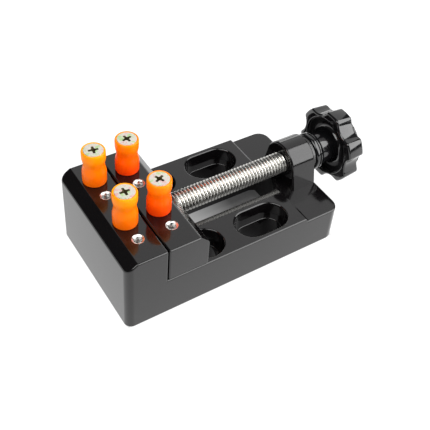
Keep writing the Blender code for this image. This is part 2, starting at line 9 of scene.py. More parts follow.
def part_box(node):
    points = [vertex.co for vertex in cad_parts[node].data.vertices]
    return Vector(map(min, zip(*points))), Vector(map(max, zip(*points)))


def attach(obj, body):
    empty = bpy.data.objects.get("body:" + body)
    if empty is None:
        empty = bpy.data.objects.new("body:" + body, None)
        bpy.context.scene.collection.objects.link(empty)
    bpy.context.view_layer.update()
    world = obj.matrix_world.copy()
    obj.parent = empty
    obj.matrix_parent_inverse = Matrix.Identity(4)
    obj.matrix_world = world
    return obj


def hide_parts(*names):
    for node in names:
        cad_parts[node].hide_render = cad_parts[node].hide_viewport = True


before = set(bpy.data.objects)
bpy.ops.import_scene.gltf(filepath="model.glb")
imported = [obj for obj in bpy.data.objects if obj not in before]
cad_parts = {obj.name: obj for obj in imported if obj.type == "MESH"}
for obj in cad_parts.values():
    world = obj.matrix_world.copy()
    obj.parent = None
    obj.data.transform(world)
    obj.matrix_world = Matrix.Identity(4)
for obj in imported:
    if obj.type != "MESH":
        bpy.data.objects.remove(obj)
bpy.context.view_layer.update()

MM = 0.001

# How far a cutter runs past the surface that it opens.
PAST = 1 * MM

# ---------------------------------------------------------------- places, from the frame

BASE_LOW, BASE_HIGH = [Vector(corner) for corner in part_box("base_casting")]
JAW_LOW, JAW_HIGH = [Vector(corner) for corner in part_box("moving_jaw")]
SPINDLE_LOW, SPINDLE_HIGH = [Vector(corner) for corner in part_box("lead_screw")]
KNOB_LOW, KNOB_HIGH = [Vector(corner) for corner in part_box("star_knob")]

START = BASE_LOW.x
BASE_LENGTH = BASE_HIGH.x - BASE_LOW.x
BASE_MIDDLE = (BASE_LOW.x + BASE_HIGH.x) / 2
BASE_WIDTH = BASE_HIGH.y - BASE_LOW.y
JAW_TOP = BASE_HIGH.z
SPINDLE_Z = (SPINDLE_LOW.z + SPINDLE_HIGH.z) / 2
SPINDLE_RADIUS = (SPINDLE_HIGH.z - SPINDLE_LOW.z) / 2

# Distances along X are measured from the fixed jaw's end face, and heights from the bench.

RAIL_TOP = 18.2 * MM
PAD_TOP = 16.5 * MM
RAIL_END = 82.0 * MM
STEP_RUN = 0.3 * MM
FIXED_JAW_DEPTH = 16.8 * MM
OUTER_CHAMFER_RUN = 4.4 * MM
OUTER_CHAMFER_DROP = 3.0 * MM
JAW_CORNER_RADIUS = 3.0 * MM
PAD_CORNER_RADIUS = 5.0 * MM
EDGE_ROUND = 0.7 * MM

JAW_FRONT = JAW_LOW.x - START
JAW_BACK = JAW_HIGH.x - START
JAW_CLEARANCE = 0.2 * MM
JAW_BOTTOM = RAIL_TOP + JAW_CLEARANCE
BACK_CHAMFER = 4.0 * MM
JAW_BORE_START = 22.8 * MM
JAW_BORE_FIT = 0.2 * MM
COUNTERBORE_RADIUS = 6.2 * MM
COUNTERBORE_DEPTH = 3.0 * MM
COUNTERBORE_LIP = 0.5 * MM
PIN_HOLE_RADIUS = 1.55 * MM
KEEPER_HOLE_RADIUS = 1.8 * MM
HOLE_END_GAP = 0.3 * MM

SLOT_WIDTH = 16.0 * MM
SLOT_END = 84.6 * MM
CHANNEL_WIDTH = 24.0 * MM
CHANNEL_HEIGHT = 5.2 * MM
CHANNEL_START = 17.2 * MM
CHANNEL_END = SLOT_END + 0.13 * MM
GUIDE_START = FIXED_JAW_DEPTH + 0.07 * MM
GUIDE_ROUND = 0.4 * MM
TONGUE_WIDTH = 15.4 * MM
TONGUE_START = 17.6 * MM
TONGUE_END = 32.0 * MM
TONGUE_ROOT = 2.0 * MM

PILLAR_FRONT = 87.3 * MM
PILLAR_BACK = BASE_LENGTH - 0.2 * MM
PILLAR_ARCH_RADIUS = 9.3 * MM
PILLAR_FOOT_WIDTH = 22.4 * MM
PILLAR_ROOT = 2.0 * MM
PILLAR_EDGE_ROUND = 0.8 * MM
PILLAR_BORE_FIT = 0.06 * MM
PILLAR_BORE_FLARE = 1.2 * MM

FIXING_Y = 19.2 * MM
FIXING_WIDTH = 14.0 * MM
FIXING_THROUGH_WIDTH = 10.5 * MM
FIXING_DEPTH = 7.1 * MM
# Where each fixing's middle is along X, and its length.
FIXINGS = ((65.0 * MM, 22.9 * MM), (39.0 * MM, 14.01 * MM))
MOUTH_ROUND = 0.8 * MM
LEDGE_ROUND = 0.35 * MM

POST_Y = (17.6 * MM, -7.8 * MM)
OPEN_HOLE_Y = (7.8 * MM, -17.6 * MM)
FIXED_POST_X = 10.2 * MM
SLIDING_POST_X = 24.2 * MM
POST_HEIGHT = 15.3 * MM
TAPPED_RADIUS = 2.0 * MM
TAPPED_MOUTH = 2.4 * MM
TAPPED_DEPTH = 13.5 * MM

DISH_RADIUS = 13.2 * MM
# Where the painted shade in the knob's dish begins; the hub inside it stays glossy.
KNOB_HUB_GLOSS = 8.3 * MM
DISH_FLOOR_END = 114.6 * MM
THREAD_PITCH = 1.5 * MM
THREAD_DEPTH = 0.72 * MM


def along(x):
    """World X of a distance from the fixed jaw's end face."""
    return START + x


# ---------------------------------------------------------------- shape helpers

def link(obj):
    bpy.context.scene.collection.objects.link(obj)
    return obj


def from_bmesh(shape, name):
    bmesh.ops.recalc_face_normals(shape, faces=shape.faces)
    mesh = bpy.data.meshes.new(name)
    shape.to_mesh(mesh)
    shape.free()
    return link(bpy.data.objects.new(name, mesh))


def arc(centre, radius, start, end, steps):
    angles = [start + (end - start) * i / steps for i in range(steps + 1)]
    return [(centre[0] + radius * cos(a), centre[1] + radius * sin(a)) for a in angles]


def tidy_outline(outline):
    """Drop points that repeat the one before them."""
    kept = []
    for point in outline:
        if not kept or hypot(point[0] - kept[-1][0], point[1] - kept[-1][1]) > 0.001 * MM:
            kept.append(point)
    if hypot(kept[0][0] - kept[-1][0], kept[0][1] - kept[-1][1]) < 0.001 * MM:
        kept.pop()
    return kept


def oblong(length, width, steps=20):
    """A slot outline with round ends, centred on the origin."""
    radius = width / 2
    straight = length / 2 - radius
    outline = arc((straight, 0), radius, -pi / 2, pi / 2, steps)
    outline += arc((-straight, 0), radius, pi / 2, 1.5 * pi, steps)
    return outline


def loft(name, sections):
    """A closed solid through level outlines of one point count, given as (outline, height)."""
    shape = bmesh.new()
    rings = [[shape.verts.new((u, v, height)) for u, v in outline] for outline, height in sections]
    count = len(rings[0])
    for low, high in zip(rings, rings[1:]):
        for i in range(count):
            j = (i + 1) % count
            shape.faces.new((low[i], low[j], high[j], high[i]))
    shape.faces.new(list(reversed(rings[0])))
    shape.faces.new(rings[-1])
    return from_bmesh(shape, name)


def prism(name, outline, low, high):
    outline = tidy_outline(outline)
    return loft(name, [(outline, low), (outline, high)])


def upright(obj):
    """Stand an outline drawn in X and Y up in X and Z."""
    obj.data.transform(Matrix.Rotation(pi / 2, 4, "X"))
    return obj


def facing_x(obj):
    """Turn an outline drawn in X and Y into Y and Z, and its height into X."""
    obj.data.transform(Matrix(((0, 0, 1, 0), (1, 0, 0, 0), (0, 1, 0, 0), (0, 0, 0, 1))))
    return obj


def turned(name, profile, steps=64, closed=False):
    """A solid of revolution about Z from (radius, height) points."""
    shape = bmesh.new()
    rings = []
    for radius, height in profile:
        if radius < 1e-7:
            rings.append([shape.verts.new((0, 0, height))])
            continue
        angles = [2 * pi * i / steps for i in range(steps)]
        rings.append([shape.verts.new((radius * cos(a), radius * sin(a), height)) for a in angles])
    pairs = list(zip(rings, rings[1:]))
    if closed:
        pairs.append((rings[-1], rings[0]))
    for low, high in pairs:
        join_rings(shape, low, high, steps)
    return from_bmesh(shape, name)


def join_rings(shape, low, high, steps):
    for i in range(steps):
        j = (i + 1) % steps
        if len(low) == 1 and len(high) == 1:
            return
        if len(low) == 1:
            shape.faces.new((low[0], high[j], high[i]))
        elif len(high) == 1:
            shape.faces.new((low[i], low[j], high[0]))
        else:
            shape.faces.new((low[i], low[j], high[j], high[i]))


def about_spindle(obj):
    """Lay a shape turned about Z along the spindle; its heights are distances from the end face."""
    obj.data.transform(Matrix.Rotation(pi / 2, 4, "Y"))
    obj.data.transform(Matrix.Translation((START, 0, SPINDLE_Z)))
    return obj


def rounded(profile, radius, steps=4, closed=True):
    """Round each corner of an outline by up to the radius, less where its sides are short."""
    count = len(profile)
    result = []
    for i, point in enumerate(profile):
        if not closed and i in (0, count - 1):
            result.append(point)
            continue
        here = Vector(point)
        before = Vector(profile[i - 1]) - here
        after = Vector(profile[(i + 1) % count]) - here
        reach = min(radius, before.length * 0.45, after.length * 0.45)
        a = here + before.normalized() * reach
        b = here + after.normalized() * reach
        for k in range(steps + 1):
            t = k / steps
            result.append(tuple(a * (1 - t) ** 2 + here * 2 * t * (1 - t) + b * t ** 2))
    return result


def bake(obj):
    """Apply every modifier."""
    graph = bpy.context.evaluated_depsgraph_get()
    mesh = bpy.data.meshes.new_from_object(obj.evaluated_get(graph))
    obj.modifiers.clear()
    obj.data = mesh
    return obj


def combine(target, tool, operation="DIFFERENCE", solver="MANIFOLD"):
    """Cut, join or clip with a tool, then remove the tool."""
    modifier = target.modifiers.new("combine", "BOOLEAN")
    modifier.operation = operation
    modifier.solver = solver
    modifier.object = tool
    bake(target)
    bpy.data.objects.remove(tool, do_unlink=True)


def round_edges(obj, width, segments=3, angle=20.0):
    modifier = obj.modifiers.new("rounded_edges", "BEVEL")
    modifier.width = width
    modifier.segments = segments
    modifier.limit_method = "ANGLE"
    modifier.angle_limit = radians(angle)
    return bake(obj)


def smooth(obj, angle=35.0, weighted=True):
    """Smooth shading across small angles, with flat faces kept flat."""
    mesh = obj.data
    mesh.shade_smooth()
    mesh.set_sharp_from_angle(angle=radians(angle))
    if weighted:
        modifier = obj.modifiers.new("flat_faces", "WEIGHTED_NORMAL")
        modifier.keep_sharp = True
        modifier.weight = 80
    return obj


# ---------------------------------------------------------------- materials

class Finish:
    """A node material, with short calls for the nodes that the finishes share."""

    def __init__(self, name, colour, roughness, metallic=0.0):
        self.material = bpy.data.materials.new(name)
        self.material.use_nodes = True
        self.tree = self.material.node_tree
        self.shader = self.tree.nodes["Principled BSDF"]
        self.set("Base Color", (*colour, 1.0))
        self.set("Roughness", roughness)
        self.set("Metallic", metallic)
        self.material.diffuse_color = (*colour, 1.0)
        self.place = self.node("ShaderNodeTexCoord").outputs["Object"]

    def set(self, socket, value):
        self.shader.inputs[socket].default_value = value

    def node(self, kind, **settings):
        made = self.tree.nodes.new(kind)
        for key, value in settings.items():
            setattr(made, key, value)
        return made

    def join(self, output, node, socket):
        self.tree.links.new(output, node.inputs[socket])

    def noise(self, scale, detail=3.0, roughness=0.5, stretch=(1, 1, 1)):
        """Noise with a feature size of about one part in scale of a metre."""
        mapping = self.node("ShaderNodeMapping")
        mapping.inputs["Scale"].default_value = stretch
        self.join(self.place, mapping, "Vector")
        made = self.node("ShaderNodeTexNoise")
        made.inputs["Scale"].default_value = scale
        made.inputs["Detail"].default_value = detail
        made.inputs["Roughness"].default_value = roughness
        self.join(mapping.outputs["Vector"], made, "Vector")
        return made.outputs["Fac"]

    def ramp(self, source, stops):
        made = self.node("ShaderNodeValToRGB")
        elements = made.color_ramp.elements
        while len(elements) < len(stops):
            elements.new(0.5)
        for element, (position, colour) in zip(elements, stops):
            element.position = position
            element.color = (*colour, 1.0)
        self.join(source, made, "Fac")
        return made.outputs["Color"]

    def spread(self, source, low, high, from_low=0.3, from_high=0.7):
        """Map a value from one range onto another."""
        made = self.node("ShaderNodeMapRange")
        made.inputs["From Min"].default_value = from_low
        made.inputs["From Max"].default_value = from_high
        made.inputs["To Min"].default_value = low
        made.inputs["To Max"].default_value = high
        self.join(source, made, "Value")
        return made.outputs["Result"]

    def math(self, operation, first, second=None):
        """A math operation on one or two values, each a number or another node's output."""
        made = self.node("ShaderNodeMath", operation=operation)
        for socket, value in enumerate((first, second)):
            if isinstance(value, float):
                made.inputs[socket].default_value = value
            elif value is not None:
                self.join(value, made, socket)
        return made.outputs["Value"]

    def coordinates(self):
        """A point's X, Y and Z."""
        made = self.node("ShaderNodeSeparateXYZ")
        self.join(self.place, made, "Vector")
        return made.outputs

    def from_spindle_axis(self):
        """The distance of a point from the spindle's axis."""
        spot = self.coordinates()
        flat = self.node("ShaderNodeCombineXYZ")
        self.join(spot["Y"], flat, "X")
        self.join(spot["Z"], flat, "Y")
        distance = self.node("ShaderNodeVectorMath", operation="DISTANCE")
        self.join(flat.outputs["Vector"], distance, 0)
        distance.inputs[1].default_value = (0.0, SPINDLE_Z, 0.0)
        return distance.outputs["Value"]

    def feed(self, socket, output):
        self.join(output, self.shader, socket)

    def bump(self, height, distance, strength=1.0, under=None):
        made = self.node("ShaderNodeBump")
        made.inputs["Distance"].default_value = distance
        made.inputs["Strength"].default_value = strength
        self.join(height, made, "Height")
        if under:
            self.join(under, made, "Normal")
        self.feed("Normal", made.outputs["Normal"])
        return made.outputs["Normal"]


def gloss_paint():
    """Black enamel on a casting: a faint orange peel, a few duller patches and fine dust."""
    finish = Finish("black_gloss_paint", (0.003, 0.0027, 0.003), 0.1)
    finish.set("Coat Weight", 0.1)
    finish.set("Coat Roughness", 0.03)
    finish.set("IOR", 1.48)
    patches = finish.noise(60, 4.0)
    specks = finish.noise(2600, 2.0, 0.6)
    finish.feed("Base Color", finish.ramp(specks, [
        (0.35, (0.002, 0.0017, 0.002)),
        (0.62, (0.0035, 0.003, 0.0033)),
        (0.78, (0.011, 0.010, 0.010)),
    ]))
    finish.feed("Roughness", finish.spread(patches, 0.06, 0.15))
    peel = finish.bump(finish.noise(420, 2.0), 0.00003, 0.2)
    finish.bump(finish.noise(5200, 1.0), 0.000004, 0.4, peel)
    return finish.material


def gloss_plastic():
    """Moulded black knob plastic: near mirror gloss with soft sink marks, and its reflections turned
    down in the dish as painted shade.
    """
    finish = Finish("black_gloss_plastic", (0.004, 0.004, 0.0045), 0.08)
    finish.set("IOR", 1.52)
    finish.set("Coat Weight", 0.2)
    scuffs = finish.noise(900, 4.0, 0.6, (1, 0.25, 1))
    finish.feed("Roughness", finish.spread(scuffs, 0.05, 0.14))
    finish.feed("Base Color", finish.ramp(finish.noise(150, 2.0), [
        (0.3, (0.003, 0.003, 0.0035)),
        (0.7, (0.006, 0.006, 0.0065)),
    ]))
    finish.bump(finish.noise(160, 2.0), 0.00004, 0.25)
    # Painted shade: reflections and coat are turned down in the dish, between the hub and the rim.
    from_axis = finish.from_spindle_axis()
    outside = finish.spread(from_axis, 0.0, 1.0, DISH_RADIUS - 0.6 * MM, DISH_RADIUS)
    hub = finish.spread(from_axis, 1.0, 0.0, KNOB_HUB_GLOSS, KNOB_HUB_GLOSS + 0.5 * MM)
    dish_end = along(DISH_FLOOR_END)
    beyond = finish.spread(finish.coordinates()["X"], 0.0, 1.0, dish_end, dish_end + 0.4 * MM)
    gloss = finish.math("MAXIMUM", finish.math("MAXIMUM", outside, hub), beyond)
    finish.feed("Specular IOR Level", finish.spread(gloss, 0.12, 0.5, 0.0, 1.0))
    finish.feed("Coat Weight", finish.spread(gloss, 0.0, 0.35, 0.0, 1.0))
    return finish.material


def orange_plastic(name, deep, light, rim):
    """Satin orange plastic with a fine moulded grain; painted shade makes it a little deeper low down,
    painted light makes it lighter up to the rim, and it glows faintly in its own colour as painted
    light.
    """
    finish = Finish(name, deep, 0.32)
    finish.set("Subsurface Weight", 0.08)
    finish.set("Subsurface Radius", (0.002, 0.0006, 0.0002))
    finish.set("Subsurface Scale", 1.0)
    # Painted light: the plastic glows faintly in its own colour, though it is no lamp.
    finish.set("Emission Strength", 0.28)
    finish.set("Specular IOR Level", 0.12)
    mottle = finish.math("MULTIPLY", finish.noise(240, 3.0), 0.25)
    # Painted light and shade: deeper colour low down, lighter towards the rim.
    height = finish.coordinates()["Z"]
    height_for_painted_shading = finish.spread(height, 0.0, 0.8, JAW_TOP, JAW_TOP + POST_HEIGHT)
    mottle_and_painted_shading = finish.math("ADD", mottle, height_for_painted_shading)
    colour = finish.ramp(mottle_and_painted_shading, [(0.1, deep), (0.62, light), (0.95, rim)])
    finish.feed("Base Color", colour)
    finish.feed("Emission Color", colour)
    finish.feed("Roughness", finish.spread(finish.noise(1500, 3.0), 0.26, 0.42))
    finish.bump(finish.noise(3800, 2.0), 0.000008, 0.5)
    return finish.material


def bright_zinc(name, roots=False):
    """Zinc plate with drawn-out machining streaks; a cut thread's roots carry painted shade, darker
    than its crests.
    """
    finish = Finish(name, (0.76, 0.75, 0.70), 0.24, 1.0)
    streaks = finish.noise(700, 4.0, 0.6, (0.25, 1, 1))
    colour = finish.ramp(streaks, [
        (0.25, (0.60, 0.59, 0.56)),
        (0.5, (0.80, 0.79, 0.75)),
        (0.75, (0.93, 0.92, 0.88)),
    ])
    if roots:
        # Painted shade: the colour darkens from the crests down into the thread's roots.
        height_for_painted_shading = finish.spread(
            finish.from_spindle_axis(), 0.0, 1.0, SPINDLE_RADIUS - THREAD_DEPTH, SPINDLE_RADIUS
        )
        painted_root_shade = finish.ramp(height_for_painted_shading, [
            (0.1, (0.34, 0.34, 0.33)),
            (0.45, (0.85, 0.85, 0.85)),
            (0.8, (1.0, 1.0, 1.0)),
        ])
        shade = finish.node("ShaderNodeMix", data_type="RGBA", blend_type="MULTIPLY")
        shade.inputs[0].default_value = 1.0
        finish.join(colour, shade, 6)
        finish.join(painted_root_shade, shade, 7)
        colour = shade.outputs[2]
    finish.feed("Base Color", colour)
    finish.feed("Roughness", finish.spread(finish.noise(1800, 3.0), 0.18, 0.36))
    finish.bump(streaks, 0.000006, 0.25)
    return finish.material


def plain_steel(name, dark, light):
    """Turned and blanked steel with a brushed grain and darker oil stains."""
    finish = Finish(name, light, 0.35, 1.0)
    grain = finish.noise(1600, 4.0, 0.6, (0.12, 1, 1))
    finish.feed("Base Color", finish.ramp(finish.noise(130, 4.0), [
        (0.3, dark),
        (0.7, light),
    ]))
    finish.feed("Roughness", finish.spread(grain, 0.26, 0.5))
    finish.bump(grain, 0.00001, 0.5)
    return finish.material


def yellow_zinc():
    """Passivated zinc on the screw heads, with pink and green interference tints."""
    finish = Finish("yellow_zinc_plate", (0.72, 0.68, 0.52), 0.3, 1.0)
    tint = finish.noise(560, 3.0, 0.5)
    finish.feed("Base Color", finish.ramp(tint, [
        (0.34, (0.56, 0.76, 0.38)),
        (0.44, (0.82, 0.80, 0.68)),
        (0.57, (0.84, 0.77, 0.71)),
        (0.68, (0.88, 0.54, 0.52)),
    ]))
    finish.feed("Roughness", finish.spread(finish.noise(2200, 3.0), 0.24, 0.42))
    finish.bump(finish.noise(3000, 3.0), 0.000006, 0.6)
    return finish.material


def screw_recess():
    """The dull olive floor of a cross recess."""
    finish = Finish("yellow_zinc_recess", (0.10, 0.08, 0.03), 0.5, 0.7)
    finish.feed("Base Color", finish.ramp(finish.noise(900, 3.0), [
        (0.3, (0.045, 0.032, 0.012)),
        (0.7, (0.16, 0.13, 0.06)),
    ]))
    finish.bump(finish.noise(2500, 2.0), 0.00001, 0.5)
    return finish.material


def machined_bore():
    """Bright cut metal inside the tapped holes."""
    finish = Finish("machined_bore", (0.80, 0.79, 0.77), 0.35, 1.0)
    rings = finish.noise(2400, 2.0, 0.5, (0.2, 0.2, 1))
    finish.feed("Base Color", finish.ramp(rings, [
        (0.36, (0.34, 0.34, 0.33)),
        (0.62, (0.90, 0.90, 0.88)),
    ]))
    finish.feed("Roughness", finish.spread(rings, 0.2, 0.4))
    return finish.material


def floor_finish():
    """A pale, even studio floor with a painted shadow under the vise, where a faint painted light
    fades to darker towards the pillar.
    """
    finish = Finish("studio_floor", (0.12, 0.12, 0.12), 0.6)
    finish.set("Emission Color", (1.0, 1.0, 1.0, 1.0))
    place = finish.coordinates()
    past_sides = []
    for axis, middle, half in (("X", BASE_MIDDLE, BASE_LENGTH / 2), ("Y", 0.0, BASE_WIDTH / 2)):
        from_middle = finish.math("ABSOLUTE", finish.math("SUBTRACT", place[axis], middle))
        past_sides.append(finish.math("SUBTRACT", from_middle, half))
    outside = finish.math("MAXIMUM", *past_sides)
    # Painted shadow: the floor's glow drops away under the vise.
    glow_with_painted_shadow = finish.spread(outside, 0.0, 0.97, -4 * MM, 0.0)
    # Painted light and shade under the vise: a faint glow where light falls through the guide slot,
    # fading out towards the pillar.
    painted_light_under_vise = finish.spread(place["X"], 0.34, 0.04, along(50 * MM), along(71 * MM))
    finish.feed("Emission Strength", finish.math("MAXIMUM", glow_with_painted_shadow, painted_light_under_vise))
    finish.feed("Roughness", finish.spread(finish.noise(20, 2.0), 0.55, 0.65))
    return finish.material


PAINT = gloss_paint()
PLASTIC = gloss_plastic()
ORANGE_FIXED = orange_plastic(
    "orange_post_light", (0.75, 0.105, 0.0), (0.75, 0.15, 0.0), (0.8, 0.26, 0.001)
)
ORANGE_MOVING = orange_plastic(
    "orange_post_deep", (0.75, 0.035, 0.0), (0.75, 0.10, 0.0), (0.8, 0.20, 0.001)
)
ZINC = bright_zinc("bright_zinc_plate")
THREAD_ZINC = bright_zinc("bright_zinc_thread", True)
STEEL = plain_steel("plain_steel", (0.25, 0.24, 0.24), (0.52, 0.52, 0.53))
# Steel coloured darker than the plain steel, used on the thrust washer.
DARKENED_STEEL = plain_steel("darkened_steel", (0.03, 0.03, 0.03), (0.10, 0.10, 0.10))
PASSIVATED = yellow_zinc()
RECESS = screw_recess()
BORE = machined_bore()
FLOOR = floor_finish()


def finish_piece(obj, material, body, nodes=()):
    """Give a piece its material, its body and the nodes it stands for."""
    # A cut can leave one empty material slot.
    if not any(obj.data.materials):
        obj.data.materials.clear()
        obj.data.materials.append(material)
    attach(obj, body)
    if nodes:
        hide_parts(*nodes)
    return obj


# ---------------------------------------------------------------- cutters that both jaws share

def flared_cutter(outline_at, low, high, flare=MOUTH_ROUND):
    """A cutter whose mouth opens with a rounded edge; outline_at gives the outline for an offset."""
    steps = 4
    sections = [(outline_at(0.0), low)]
    for k in range(steps + 1):
        angle = (pi / 2) * k / steps
        sections.append((outline_at(flare * (1 - cos(angle))), high - flare * (1 - sin(angle))))
    sections.append((outline_at(flare), high + PAST))
    return loft("cutter", sections)


def tapped_hole(target, x, y):
    profile = [
        (0.0, JAW_TOP - TAPPED_DEPTH),
        (TAPPED_RADIUS, JAW_TOP - TAPPED_DEPTH),
        (TAPPED_RADIUS, JAW_TOP - (TAPPED_MOUTH - TAPPED_RADIUS)),
        (TAPPED_MOUTH, JAW_TOP),
        (TAPPED_MOUTH, JAW_TOP + PAST),
        (0.0, JAW_TOP + PAST),
    ]
    cutter = turned("cutter", profile, 40)
    cutter.data.transform(Matrix.Translation((along(x), y, 0)))
    combine(target, cutter)


def tapped_thread(name, x, y, body):
    """The bright thread cut through the paint in an open hole, with its countersunk mouth."""
    pitch = 0.7 * MM
    outer = TAPPED_RADIUS - 0.01 * MM
    root = outer - 0.08 * MM
    crest = TAPPED_RADIUS - 0.33 * MM
    top = JAW_TOP - 0.02 * MM
    first_crest = top - 0.45 * MM
    bottom = JAW_TOP - 9.0 * MM
    profile = [
        (outer, bottom),
        (outer, top - (TAPPED_MOUTH - TAPPED_RADIUS)),
        (TAPPED_MOUTH - 0.03 * MM, top),
        (TAPPED_MOUTH - 0.12 * MM, top),
        (crest + 0.2 * MM, top - 0.33 * MM),
    ]
    height = first_crest
    while height > bottom + pitch:
        profile.append((crest, height))
        profile.append((root, height - pitch / 2))
        height -= pitch
    profile.append((crest, bottom))
    obj = turned(name, profile, 48, closed=True)
    obj.data.transform(Matrix.Translation((along(x), y, 0)))
    smooth(obj, 50.0, False)
    return finish_piece(obj, BORE, body)


# ---------------------------------------------------------------- base casting

def plan_outline():
    half = BASE_WIDTH / 2
    near = JAW_CORNER_RADIUS
    far = PAD_CORNER_RADIUS
    outline = arc((BASE_LENGTH - far, half - far), far, 0, pi / 2, 16)
    outline += arc((near, half - near), near, pi / 2, pi, 12)
    outline += arc((near, near - half), near, pi, 1.5 * pi, 12)
    outline += arc((BASE_LENGTH - far, far - half), far, 1.5 * pi, 2 * pi, 16)
    return outline


def pillar_outline():
    half_foot = PILLAR_FOOT_WIDTH / 2
    drop = PAD_TOP - SPINDLE_Z
    start = atan2(drop, half_foot) + acos(PILLAR_ARCH_RADIUS / hypot(half_foot, drop))
    slope = (half_foot - PILLAR_ARCH_RADIUS * cos(start)) / (PILLAR_ARCH_RADIUS * sin(start) - drop)
    half_root = half_foot + slope * PILLAR_ROOT
    outline = [(-half_root, PAD_TOP - PILLAR_ROOT), (half_root, PAD_TOP - PILLAR_ROOT)]
    outline += arc((0, SPINDLE_Z), PILLAR_ARCH_RADIUS, start, pi - start, 48)
    return outline


def guide_outline(offset):
    """The guide slot between the rails: square under the jaw, round at the pillar."""
    radius = SLOT_WIDTH / 2 + offset
    end = SLOT_END - SLOT_WIDTH / 2
    outline = [(GUIDE_START, radius), (GUIDE_START, -radius)]
    outline += arc((end, 0), radius, -pi / 2, pi / 2, 28)
    return outline


def moved(outline, x, y):
    return [(u + x, v + y) for u, v in outline]


def cut_fixings(base):
    ledge = RAIL_TOP - FIXING_DEPTH
    narrower = FIXING_WIDTH - FIXING_THROUGH_WIDTH
    for side in (-1, 1):
        for x, length in FIXINGS:
            def mouth_at(offset):
                grown = oblong(length + 2 * offset, FIXING_WIDTH + 2 * offset)
                return moved(grown, x, side * FIXING_Y)

            def through_at(offset):
                grown = oblong(length - narrower + 2 * offset, FIXING_THROUGH_WIDTH + 2 * offset)
                return moved(grown, x, side * FIXING_Y)

            through = flared_cutter(through_at, -PAST, ledge, LEDGE_ROUND)
            mouth = flared_cutter(mouth_at, ledge, RAIL_TOP)
            combine(through, mouth, "UNION")
            through.data.transform(Matrix.Translation((START, 0, 0)))
            combine(base, through)


def make_base():
    side_view = [
        (0.0, 0.0),
        (BASE_LENGTH, 0.0),
        (BASE_LENGTH, PAD_TOP),
        (RAIL_END + STEP_RUN, PAD_TOP),
        (RAIL_END - STEP_RUN, RAIL_TOP),
        (FIXED_JAW_DEPTH, RAIL_TOP),
        (FIXED_JAW_DEPTH, JAW_TOP),
        (OUTER_CHAMFER_RUN, JAW_TOP),
        (0.0, JAW_TOP - OUTER_CHAMFER_DROP),
    ]
    base = upright(prism("base_body", side_view, -BASE_WIDTH / 2, BASE_WIDTH / 2))
    combine(base, prism("plan", plan_outline(), -JAW_TOP, 2 * JAW_TOP), "INTERSECT")
    round_edges(base, EDGE_ROUND)
    pillar = facing_x(prism("pillar", pillar_outline(), PILLAR_FRONT, PILLAR_BACK))
    round_edges(pillar, PILLAR_EDGE_ROUND, 4, 40.0)
    combine(base, pillar, "UNION")
    base.data.transform(Matrix.Translation((START, 0, 0)))

    half = CHANNEL_WIDTH / 2
    channel_outline = [
        (along(CHANNEL_START), -half),
        (along(CHANNEL_END), -half),
        (along(CHANNEL_END), half),
        (along(CHANNEL_START), half),
    ]
    combine(base, prism("cutter", channel_outline, -PAST, CHANNEL_HEIGHT))
    guide = flared_cutter(guide_outline, CHANNEL_HEIGHT - PAST, RAIL_TOP, GUIDE_ROUND)
    guide.data.transform(Matrix.Translation((START, 0, 0)))
    combine(base, guide)
    cut_fixings(base)
    bore_radius = SPINDLE_RADIUS + PILLAR_BORE_FIT
    flare_radius = SPINDLE_RADIUS + PILLAR_BORE_FLARE
    bore = turned("cutter", [
        (0.0, PILLAR_FRONT - PAST),
        (flare_radius, PILLAR_FRONT - PAST),
        (bore_radius, PILLAR_FRONT + 0.15 * MM),
        (bore_radius, PILLAR_BACK - 0.3 * MM),
        (flare_radius, PILLAR_BACK + PAST),
        (0.0, PILLAR_BACK + PAST),
    ])
    combine(base, about_spindle(bore))
    for y in POST_Y + OPEN_HOLE_Y:
        tapped_hole(base, FIXED_POST_X, y)
    smooth(base)
    finish_piece(base, PAINT, "base", ["base_casting"])
    for y, side in zip(OPEN_HOLE_Y, ("far", "near")):
        tapped_thread("fixed_jaw_thread_" + side, FIXED_POST_X, y, "base")


# ---------------------------------------------------------------- sliding jaw

